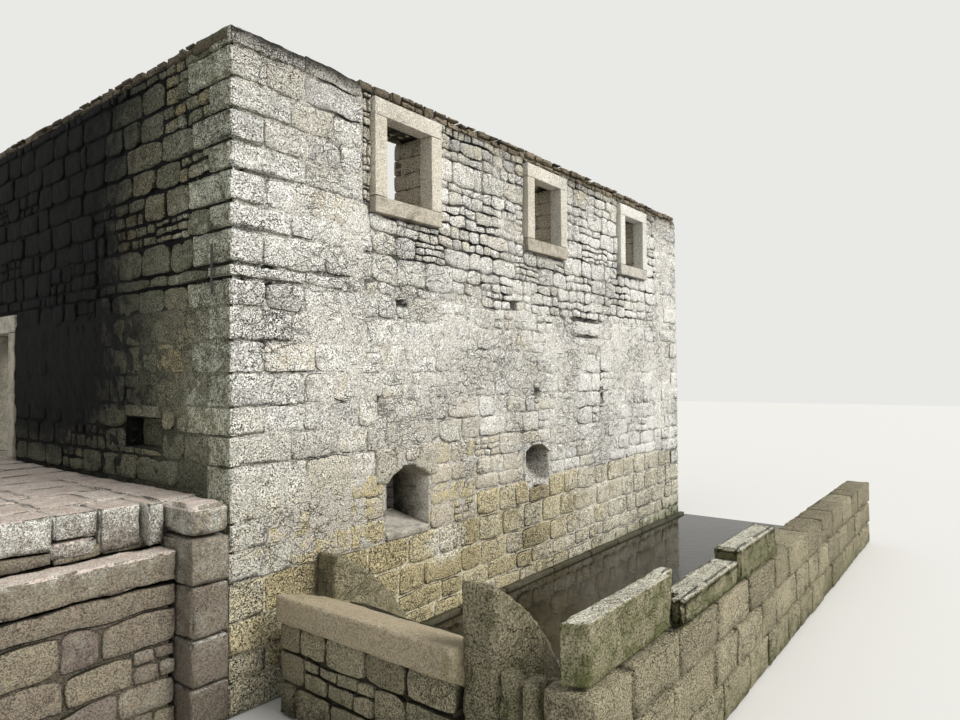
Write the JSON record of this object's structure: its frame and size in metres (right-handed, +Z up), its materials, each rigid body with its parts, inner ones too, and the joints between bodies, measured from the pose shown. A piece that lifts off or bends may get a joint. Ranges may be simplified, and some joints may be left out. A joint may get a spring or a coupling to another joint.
{
  "type": "ruined stone watermill",
  "caption": "Roofless rubble-stone watermill shell with dressed window frames, wheel shaft openings, an entry landing and a wheel race with kerb stones.",
  "frame": {"origin": "centre of the bounding box's base, on the level of the race floor's underside", "axes": "+X along the front wall away from the landing, +Y from the wheel race into the building, +Z up"},
  "size_m": [11.14, 10.24, 5.78],
  "materials": {
    "limewashed_rubble": "weathered sandstone rubble with remains of limewash",
    "plinth_ashlar": "squared yellow sandstone, damp and algae-stained at its foot",
    "shaded_rubble": "dark weathered sandstone rubble",
    "dressed_sandstone": "finely dressed sandstone",
    "worn_sandstone": "worn sandstone slabs and blocks",
    "wet_stone": "wet dark stone",
    "wrought_iron": "rusted forged iron"
  },
  "bodies": {
    "root": {"front_wall_base": "plinth_ashlar", "front_wall_ledge": "wet_stone", "front_wall_lower": "limewashed_rubble", "front_wall_upper": "limewashed_rubble", "left_wall": "shaded_rubble", "right_wall": "shaded_rubble", "back_wall": "shaded_rubble", "stone_floor": "worn_sandstone", "window_1_sill": "dressed_sandstone", "window_1_jamb_near": "dressed_sandstone", "window_1_jamb_far": "dressed_sandstone", "window_1_lintel": "dressed_sandstone", "window_2_sill": "dressed_sandstone", "window_2_jamb_near": "dressed_sandstone", "window_2_jamb_far": "dressed_sandstone", "window_2_lintel": "dressed_sandstone", "window_3_sill": "dressed_sandstone", "window_3_jamb_near": "dressed_sandstone", "window_3_jamb_far": "dressed_sandstone", "window_3_lintel": "dressed_sandstone", "rear_window_sills": "dressed_sandstone", "rear_window_jambs": "dressed_sandstone", "rear_window_lintels": "dressed_sandstone", "shaft_sill": "dressed_sandstone", "shaft_infill": "limewashed_rubble", "door_threshold": "dressed_sandstone", "door_jamb_near": "dressed_sandstone", "door_jamb_far": "dressed_sandstone", "door_lintel": "dressed_sandstone", "landing_core": "shaded_rubble", "landing_slabs": "worn_sandstone", "pier_block_low": "worn_sandstone", "pier_block_middle": "worn_sandstone", "pier_block_top": "worn_sandstone", "step_base": "shaded_rubble", "step_block": "worn_sandstone", "race_apron": "worn_sandstone", "race_bed": "wet_stone", "race_cheek_inner": "worn_sandstone", "race_cheek_outer": "worn_sandstone", "race_wall": "shaded_rubble", "kerb_1": "worn_sandstone", "kerb_2": "worn_sandstone", "kerb_3": "worn_sandstone", "wall_strap": "wrought_iron"}
  },
  "joints": []
}
